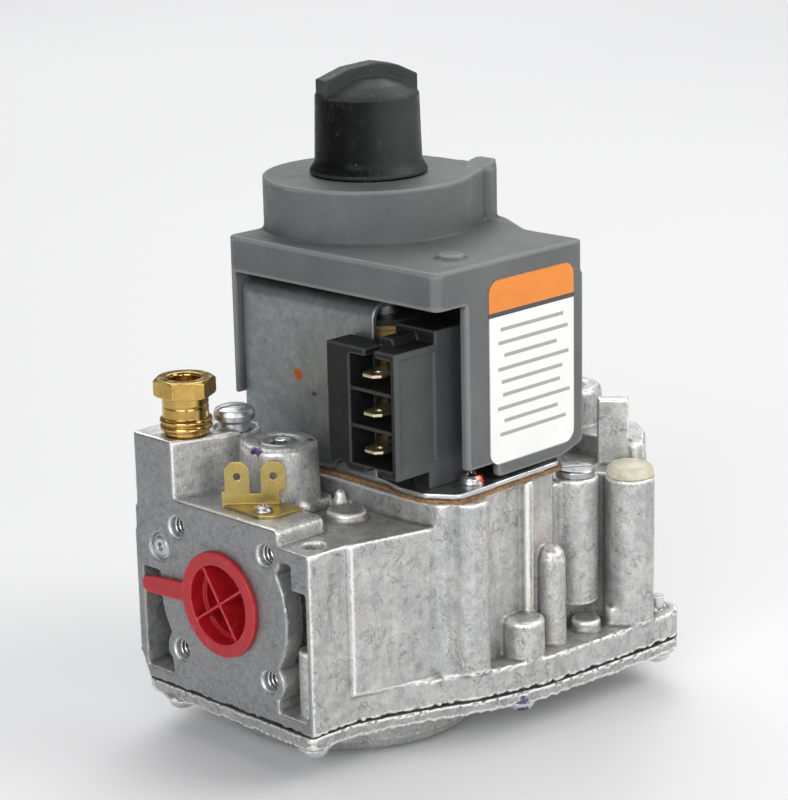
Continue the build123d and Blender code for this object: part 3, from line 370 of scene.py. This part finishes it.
def label():
    s = Shader("printed film", Roughness=0.34)
    x, y, z = s.xyz()[0], s.xyz()[1], s.xyz()[2]
    paper = s.ramp(s.noise(10, 4, 0.6, 0.3, seed=1), (0.3, (0.83, 0.83, 0.81)), (0.7, (0.90, 0.90, 0.885)))
    orange = s.ramp(s.noise(8, 4, 0.6, 0.3, seed=2), (0.3, (0.76, 0.215, 0.012)), (0.7, (0.84, 0.262, 0.022)))
    col = s.mix(s.step(z, 72.75, 72.85), paper, orange)
    rule = s.math("MULTIPLY", s.step(z, 71.5, 71.6), s.step(z, 72.85, 72.75))
    col = s.mix(rule, col, (0.045, 0.045, 0.045))
    # thin dark outline round the film
    inx = s.math("MULTIPLY", s.step(x, 54.55, 54.75), s.step(x, 87.05, 86.85))
    inz = s.math("MULTIPLY", s.step(z, 32.75, 32.95), s.step(z, 81.05, 80.85))
    col = s.mix(s.math("MULTIPLY", s.math("SUBTRACT", 1.0, s.math("MULTIPLY", inx, inz)), 0.55), col, (0.10, 0.10, 0.10))
    # plain grey bars of differing length stand where the print is
    row = s.math("FRACT", s.math("DIVIDE", s.math("SUBTRACT", 69.6, z), 3.45))
    num = s.math("FLOOR", s.math("DIVIDE", s.math("SUBTRACT", 69.6, z), 3.45))
    wob = s.math("MULTIPLY", s.math("SINE", s.math("MULTIPLY", num, 2.4)), 2.6)
    left = s.math("SUBTRACT", x, s.math("SUBTRACT", 58.6, s.math("MULTIPLY", wob, 0.5)))
    right = s.math("SUBTRACT", s.math("ADD", 83.0, wob), x)
    bar = s.math("MULTIPLY", s.math("MULTIPLY", s.step(row, 0.30, 0.34), s.step(row, 0.62, 0.58)), s.math("MULTIPLY", s.step(left, 0.0, 0.2), s.step(right, 0.0, 0.2)))
    bar = s.math("MULTIPLY", bar, s.math("MULTIPLY", s.step(z, 38.2, 38.4), s.step(z, 69.7, 69.5)))
    col = s.mix(s.math("MULTIPLY", bar, 0.72), col, (0.16, 0.16, 0.16))
    sc = scratches(s, 7, 3.0, 0.5)
    col = s.mix(s.math("MULTIPLY", sc, 0.35), col, (0.55, 0.55, 0.53))
    s.bump((s.noise(0.5, 2, 0.5, seed=4), 0.012), (s.noise(9, 3, 0.5, seed=5), 0.12))
    s.b.inputs["Coat Weight"].default_value = 0.25
    s.b.inputs["Coat Roughness"].default_value = 0.2
    return s.out(Base_Color=col, Roughness=s.line(s.noise(4, 3, 0.6, seed=6), 0.3, 0.7, 0.28, 0.42))


def cork():
    s = Shader("pressed fibre", Roughness=0.85)
    flecks = s.cells(0.9)
    base = s.ramp(flecks, (0.1, (0.10, 0.055, 0.026)), (0.45, (0.24, 0.13, 0.055)), (0.8, (0.36, 0.205, 0.09)))
    base = s.mix(0.5, base, s.ramp(s.noise(2.2, 4, 0.7, seed=2), (0.3, 0.55), (0.7, 1.3)), "MULTIPLY")
    s.bump((flecks, 0.10), (s.noise(0.4, 3, 0.6, seed=3), 0.06))
    return s.out(Base_Color=base)


def cloudy():
    s = Shader("cloudy cream", Roughness=0.30)
    s.b.inputs["Subsurface Weight"].default_value = 0.35
    s.b.inputs["Subsurface Radius"].default_value = (0.004, 0.003, 0.002)
    s.b.inputs["Subsurface Scale"].default_value = 0.4
    base = s.ramp(s.noise(3.0, 5, 0.65, 1.0, seed=1), (0.3, (0.50, 0.47, 0.34)), (0.7, (0.74, 0.71, 0.57)))
    base = s.mix(s.math("MULTIPLY", s.step(s.noise(1.5, 4, 0.7, seed=3), 0.62, 0.7), 0.4), base, (0.36, 0.31, 0.18))
    s.bump((s.noise(2.2, 3, 0.6, 0.6, seed=2), 0.14))
    return s.out(Base_Color=base, Roughness=s.line(s.noise(2, 3, 0.6, seed=6), 0.3, 0.7, 0.22, 0.45))


def tape():
    s = Shader("coil tape", Roughness=0.45)
    z = s.xyz()[2]
    lap = s.math("FRACT", s.math("DIVIDE", s.math("ADD", z, s.noise(12, 2, 0.5, seed=1)), 6.0))
    base = s.mix(s.step(lap, 0.02, 0.08), (0.20, 0.13, 0.03), s.ramp(s.noise(5, 4, 0.6, seed=2), (0.3, (0.44, 0.30, 0.07)), (0.7, (0.58, 0.42, 0.12))))
    s.bump((lap, 0.12), (s.noise(0.9, 3, 0.6, seed=3), 0.03))
    return s.out(Base_Color=base, Roughness=s.line(s.noise(3, 3, 0.6, seed=4), 0.3, 0.7, 0.36, 0.55))


def rubber():
    s = Shader("nitrile rubber", Roughness=0.7)
    base = s.ramp(s.noise(3, 5, 0.6, seed=1), (0.3, (0.016, 0.016, 0.017)), (0.7, (0.042, 0.042, 0.043)))
    s.bump((s.noise(0.5, 3, 0.6, seed=2), 0.05))
    return s.out(Base_Color=base, Roughness=s.line(s.noise(2, 3, 0.6, seed=4), 0.3, 0.7, 0.6, 0.82))


VIOLET = (0.075, 0.030, 0.20)
BODY_MARKS = [((13.6, -0.4, 38.0), 1.7, 0.7, VIOLET), ((14.4, 1.6, 37.4), 1.1, 0.5, VIOLET), ((28.8, -4.2, 38.0), 1.2, 0.5, VIOLET)]
MATS = {
    "cast_aluminium": cast("cast aluminium", 1.0, True, BODY_MARKS),
    "nitrile_rubber": rubber(),
    "zinc_plated_steel": metal("zinc plate", (0.48, 0.50, 0.51), (0.66, 0.68, 0.69), 0.33, (1, 1, 1), 1.1, 1.0, 0.02, 0.25, 1.0),
    "stainless_steel": metal("drawn steel", (0.50, 0.50, 0.50), (0.68, 0.68, 0.67), 0.26, (1, 1, 0.12), 0.7, 1.0, 0.012, 0.15, 3.0),
    "brass": metal("turned brass", (0.40, 0.245, 0.065), (0.70, 0.46, 0.145), 0.18, (0.2, 0.2, 3.0), 0.8, 1.0, 0.015, 0.35, 5.0),
    "machined_aluminium": metal("machined aluminium", (0.46, 0.47, 0.48), (0.66, 0.67, 0.68), 0.34, (1, 1, 1), 0.9, 1.0, 0.02, 0.35, 7.0),
    "red_plastic": red_plug(),
    "black_plastic": plastic_black("black moulding", 0.0030, 0.38, 0.75, 0.0, 0.12, knob_dust_and_sheen),
    "bobbin_plastic": plastic_black("bobbin moulding", 0.035, 0.45, 0.3, 2.0),
    "coil_tape": tape(),
    "grey_plastic": plastic_grey(),
    "label_film": label(),
    "dark_plastic_cap": metal("cap metal", (0.34, 0.35, 0.36), (0.55, 0.56, 0.57), 0.32, (1, 1, 1), 1.0, 1.0, 0.02, 0.35, 9.0),
    "translucent_plastic": cloudy(),
    "gasket_fibre": cork(),
}
SPECIAL = {
    "terminal_block": plastic_black("block moulding", 0.0075, 0.50, 0.25, 4.0, 0.35, block_front_painted_light),
    "coil_bracket": metal("bracket zinc plate", (0.24, 0.265, 0.265), (0.37, 0.395, 0.39), 0.44, (1, 1, 1), 0.8, 0.92, 0.02, 0.75, 11.0,
                          [((38.0, 9.4, 51.5), 1.75, 0.25, (0.62, 0.13, 0.015)), ((38.0, 3.5, 47.0), 0.8, 0.6, (0.12, 0.09, 0.07))]),
    "operator_screws": metal("screw zinc plate", (0.48, 0.50, 0.51), (0.70, 0.72, 0.73), 0.26, (1, 1, 1), 0.8, 1.0, 0.02, 0.25, 13.0,
                             [((53.0, -42.0, 30.4), 2.3, 0.4, (0.85, 0.10, 0.02))]),
    "diaphragm_cover_screws": metal("cover screw plate", (0.56, 0.58, 0.60), (0.76, 0.78, 0.80), 0.2, (1, 1, 1), 0.8, 1.0, 0.015, 0.2, 15.0,
                                    [((61.0, -48.4, -34.4), 1.6, 0.6, VIOLET)]),
    "ground_bracket": metal("stamped brass", (0.38, 0.285, 0.085), (0.52, 0.40, 0.15), 0.40, (1, 1, 1), 0.6, 0.85, 0.015, 0.25, 17.0),
    "terminal_blades": metal("blade brass", (0.60, 0.52, 0.30), (0.80, 0.72, 0.46), 0.32, (1, 1, 1), 0.7, 0.95, 0.015, 0.25, 19.0),
    "diaphragm_cover": cast("cast cover", 0.86, False, [((58.5, -51.6, -31.5), 2.0, 0.8, VIOLET)], 1.25),
}


# ------------------------------------------------------------------ mesh kit
def mesh_edges(me):
    e = np.empty(len(me.edges) * 2, np.int32)
    me.edges.foreach_get("vertices", e)
    return e.reshape(-1, 2)


def mean_of_neighbours(co, e, deg):
    out = np.empty_like(co)
    for k in range(co.shape[1]):
        out[:, k] = np.bincount(e[:, 0], co[e[:, 1], k], len(co)) + np.bincount(e[:, 1], co[e[:, 0], k], len(co))
    return out / deg[:, None]


def lattice(p, cell, seed):
    """Smooth value noise at points p (mm), from a seeded lattice."""
    q = p / cell + 100.0
    i = np.floor(q).astype(np.int64)
    f = q - i
    f = f * f * (3 - 2 * f)
    tot = np.zeros(len(p))
    for dx in (0, 1):
        for dy in (0, 1):
            for dz in (0, 1):
                h = ((i[:, 0] + dx) * 73856093) ^ ((i[:, 1] + dy) * 19349663) ^ ((i[:, 2] + dz) * 83492791) ^ (seed * 2654435761)
                h = (h ^ (h >> 13)) * 1274126177
                v = ((h >> 7) & 0xFFFF) / 65535.0
                w = (f[:, 0] if dx else 1 - f[:, 0]) * (f[:, 1] if dy else 1 - f[:, 1]) * (f[:, 2] if dz else 1 - f[:, 2])
                tot += v * w
    return tot


def moulded(name, node, voxel, rounds, shape=None, material=None):
    """A cast or moulded skin of a CAD node: even faces, edges rounded, curvature stored for edge wear, painted edge
    highlights and painted crevice shade.
    """
    me = NODES[node].data.copy()
    ob = bpy.data.objects.new(name, me)
    bpy.context.scene.collection.objects.link(ob)
    me.materials.clear()
    weld = ob.modifiers.new("weld", "WELD")
    weld.merge_threshold = 0.000002
    sk = ob.modifiers.new("skin", "REMESH")
    sk.mode = "VOXEL"
    sk.voxel_size = voxel * MM
    dg = bpy.context.evaluated_depsgraph_get()
    new = bpy.data.meshes.new_from_object(ob.evaluated_get(dg))
    ob.modifiers.clear()
    ob.data = new
    n = len(new.vertices)
    co = np.empty(n * 3)
    new.vertices.foreach_get("co", co)
    co = co.reshape(-1, 3) * 1000.0
    e = mesh_edges(new)
    deg = np.maximum(np.bincount(e.ravel(), minlength=n), 1).astype(float)
    for k in range(rounds):
        co += 0.5 * (mean_of_neighbours(co, e, deg) - co)
    if shape:
        new.vertices.foreach_set("co", (co * MM).ravel())
        new.update()
        nr = np.empty(n * 3, np.float32)
        new.vertex_normals.foreach_get("vector", nr)
        nr = nr.reshape(-1, 3).astype(float)
        crv = -((mean_of_neighbours(co, e, deg) - co) * nr).sum(1)
        co = shape(co, nr, crv / (np.percentile(np.abs(crv), 97) + 1e-9))
    lo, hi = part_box(node)
    co = np.clip(co, np.array(lo) * 1000, np.array(hi) * 1000)
    new.vertices.foreach_set("co", (co * MM).ravel())
    new.update()
    nr = np.empty(n * 3, np.float32)
    new.vertex_normals.foreach_get("vector", nr)
    crv = -((mean_of_neighbours(co, e, deg) - co) * nr.reshape(-1, 3)).sum(1)
    for k in range(2):
        crv = 0.5 * crv + 0.5 * mean_of_neighbours(crv[:, None], e, deg)[:, 0]
    crv = np.clip(crv / (np.percentile(np.abs(crv), 96) + 1e-9), -1.5, 1.5)
    a = new.attributes.new("edge", "FLOAT", "POINT")
    a.data.foreach_set("value", crv.astype(np.float32))
    new.polygons.foreach_set("use_smooth", np.ones(len(new.polygons), bool))
    new.materials.append(material or SPECIAL.get(node) or MATS[SLOT_OF[node]])
    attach(ob, BODY_OF[node])
    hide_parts(node)
    print(name, len(new.polygons))
    return ob


def cast_body(p, nr, crv):
    # cast surfaces are never dead flat, and the trimmed flange edge is ragged
    inside = (p[:, 0] > 0.6) & (p[:, 0] < 126.4)
    wav = (lattice(p, 6.0, 3) - 0.5) * 0.12 + (lattice(p, 2.2, 5) - 0.5) * 0.06
    p = p + nr * (wav * inside)[:, None]
    rag = ((np.abs(p[:, 2] + 20.4) < 0.9) | (np.abs(p[:, 2] + 27.6) < 0.8)) & (crv > 0.5)
    outw = (lattice(p, 1.1, 8) - 0.5) * 0.9 * rag
    p = p + nr * outw[:, None]
    return p


def cast_cover(p, nr, crv):
    wav = (lattice(p, 6.0, 13) - 0.5) * 0.14 + (lattice(p, 2.2, 15) - 0.5) * 0.08
    p = p + nr * (wav * (p[:, 2] > -41.2))[:, None]
    rag = ((p[:, 2] > -29.7) | (np.abs(p[:, 2] + 32.2) < 0.8)) & (crv > 0.5)
    return p + nr * ((lattice(p, 0.9, 18) - 0.45) * 0.9 * rag)[:, None]


def screw_tips(p, nr, crv):
    # the tip that shows on the right flange stands just proud of the casting
    low = (p[:, 0] > 100.0) & (p[:, 1] < 0.0) & (p[:, 2] > -16.6)
    p = p.copy()
    p[low, 2] = -16.6 + (p[low, 2] + 16.6) * 0.05
    return p


def closing_spring(name, node):
    """A coil spring: the CAD node's mesh copied with its material and its transform baked in."""
    ob = bpy.data.objects.new(name, NODES[node].data.copy())
    bpy.context.scene.collection.objects.link(ob)
    ob.data.materials.clear()
    ob.data.materials.append(SPECIAL.get(node) or MATS[SLOT_OF[node]])
    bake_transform(ob)
    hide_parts(node)
    return ob


K = 1.0
moulded("body_casting", "valve_body", 0.50 * K, 2, cast_body)
moulded("diaphragm_casting", "diaphragm_cover", 0.50 * K, 2, cast_cover)
moulded("cover_moulding", "top_cover", 0.45 * K, 3)
moulded("knob_moulding", "control_knob", 0.28 * K, 2)
moulded("block_moulding", "terminal_block", 0.26 * K, 1)
moulded("plug_moulding", "shipping_plug", 0.22 * K, 2)
moulded("bracket_pressing", "coil_bracket", 0.30 * K, 1)
moulded("base_pressing", "operator_base_plate", 0.30 * K, 1)
moulded("ground_pressing", "ground_bracket", 0.14 * K, 1)
moulded("blade_pressings", "terminal_blades", 0.14 * K, 1)
moulded("pilot_nut_turning", "pilot_compression_nut", 0.16 * K, 1)
moulded("pilot_cap_turning", "pilot_adjust_cap", 0.16 * K, 1)
moulded("regulator_cap_turning", "regulator_cap", 0.16 * K, 1)
moulded("inlet_tap_turning", "inlet_tap_plug", 0.16 * K, 1)
moulded("outlet_tap_turning", "outlet_tap_plug", 0.16 * K, 1)
moulded("cover_screw_heads", "diaphragm_cover_screws", 0.20 * K, 1, screw_tips)
moulded("operator_screw_heads", "operator_screws", 0.18 * K, 1)
moulded("sealing_moulding", "sealing_plug", 0.24 * K, 3)
moulded("bleed_screw_turning", "bleed_screw", 0.14 * K, 1)
moulded("ground_screw_turning", "ground_screw", 0.12 * K, 1)
closing_spring("main_valve_coil", "main_valve_spring")
closing_spring("main_plunger_coil", "main_plunger_spring")
closing_spring("pilot_plunger_coil", "pilot_plunger_spring")

for n, o in NODES.items():
    o.data.materials.clear()
    o.data.materials.append(SPECIAL.get(n) or MATS[SLOT_OF[n]])


# ------------------------------------------------------------------ threads
def thread(name, body, mat, at, axis, r, depth, pitch, tip):
    """A helical ridge standing in a tapped hole: start point on the face, axis into the hole."""
    ax = Vector(axis).normalized()
    u = ax.orthogonal().normalized()
    v = ax.cross(u)
    per = 32
    turns = depth / pitch
    steps = int(per * turns)
    verts, faces = [], []
    for k in range(steps + 1):
        a = 2 * math.pi * k / per
        fade = min(1.0, k / 10.0, (steps - k) / 10.0)
        d = Vector(at) + ax * (k / per * pitch)
        out = u * math.cos(a) + v * math.sin(a)
        for off, rr in ((-0.44 * pitch, r + 0.12), (-0.06 * pitch, r - tip * fade), (0.06 * pitch, r - tip * fade), (0.44 * pitch, r + 0.12)):
            verts.append((d + ax * off + out * rr) * MM)
    for k in range(steps):
        for j in range(4):
            a, b = 4 * k + j, 4 * k + (j + 1) % 4
            faces.append((a, b, b + 4, a + 4))
    me = bpy.data.meshes.new(name)
    me.from_pydata([tuple(x) for x in verts], [], faces)
    me.polygons.foreach_set("use_smooth", np.ones(len(faces), bool))
    me.materials.append(mat)
    ob = bpy.data.objects.new(name, me)
    bpy.context.scene.collection.objects.link(ob)
    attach(ob, body)
    return ob


THREAD = metal("cut thread", (0.55, 0.56, 0.57), (0.74, 0.75, 0.76), 0.24, (1, 1, 1), 0.6, 1.0, 0.01, 0.2, 21.0)
h = 16.9
for i, (sy, sz) in enumerate(((-h, -h), (-h, h), (h, -h), (h, h))):
    thread(f"inlet_thread_{i + 1}", "valve", THREAD, (1.3, sy, sz), (1, 0, 0), 2.75, 10.5, 1.25, 0.42)
    thread(f"outlet_thread_{i + 1}", "valve", THREAD, (125.7, sy, sz), (-1, 0, 0), 2.75, 10.5, 1.25, 0.42)
thread("outlet_port_thread", "valve", THREAD, (125.3, 0, 0), (-1, 0, 0), 11.9, 15.0, 1.81, 0.75)

# ------------------------------------------------------------------ stage
FLOOR_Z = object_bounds()[0][2]
fm = Shader("pale floor", Roughness=0.55)
fm.b.inputs["Specular IOR Level"].default_value = 0.25
fm.out(Base_Color=fm.ramp(fm.noise(900, 2, 0.5, seed=1), (0.35, (0.80, 0.80, 0.81)), (0.65, (0.83, 0.83, 0.835))))
me = bpy.data.meshes.new("floor")
me.from_pydata([(-6, -6, FLOOR_Z), (9, -6, FLOOR_Z), (9, 9, FLOOR_Z), (-6, 9, FLOOR_Z)], [], [(0, 1, 2, 3)])
me.materials.append(fm.m)
floor = bpy.data.objects.new("floor", me)
bpy.context.scene.collection.objects.link(floor)


def area(name, at, target, size, watts, col=(1.0, 0.984, 0.968)):
    d = bpy.data.lights.new(name, "AREA")
    d.shape = "RECTANGLE"
    d.size, d.size_y = size
    d.energy = watts
    d.color = col
    o = bpy.data.objects.new(name, d)
    bpy.context.scene.collection.objects.link(o)
    o.location = at
    o.rotation_euler = (Vector(target) - Vector(at)).to_track_quat("-Z", "Y").to_euler()
    return o


area("key", (0.80, -0.85, 0.85), (0.05, 0, 0.03), (0.9, 0.9), 9.6, (1, 0.985, 0.96))
area("top", (0.45, 0.55, 1.5), (0.2, 0.2, 0.0), (1.8, 1.8), 12.5, (1, 1, 1))
area("rear", (1.7, 1.7, 1.7), (1.5, 1.5, 0.0), (2.2, 2.2), 34, (1, 1, 1))
area("fill", (-1.15, -0.55, 0.55), (0.0, 0, 0.04), (0.9, 0.7), 10.0, (0.97, 0.985, 1))
area("front", (-0.35, -1.25, 0.30), (0.05, 0, 0.04), (0.6, 0.5), 3.4, (1, 1, 1))
w = bpy.data.worlds.new("studio")
w.use_nodes = True
w.node_tree.nodes["Background"].inputs["Color"].default_value = (0.93, 0.94, 0.96, 1)
w.node_tree.nodes["Background"].inputs["Strength"].default_value = 0.18
bpy.context.scene.world = w
bpy.context.scene.view_settings.view_transform = "Standard"

# ------------------------------------------------------------------ camera
F = Vector((0.6825, 0.6796, -0.2688)).normalized()
R = F.cross(Vector((0, 0, 1))).normalized()
U = R.cross(F)
roll = math.radians(-1.255)
R2 = R * math.cos(roll) + U * math.sin(roll)
U2 = U * math.cos(roll) - R * math.sin(roll)
cd = bpy.data.cameras.new("camera")
cd.sensor_width = 36
cd.lens = 110.7
cd.clip_start, cd.clip_end = 0.05, 50
cam = bpy.data.objects.new("camera", cd)
bpy.context.scene.collection.objects.link(cam)
m = Matrix((R2, U2, -F)).transposed().to_4x4()
m.translation = Vector((-0.3883, -0.4505, 0.2187))
cam.matrix_world = m
bpy.context.scene.camera = cam
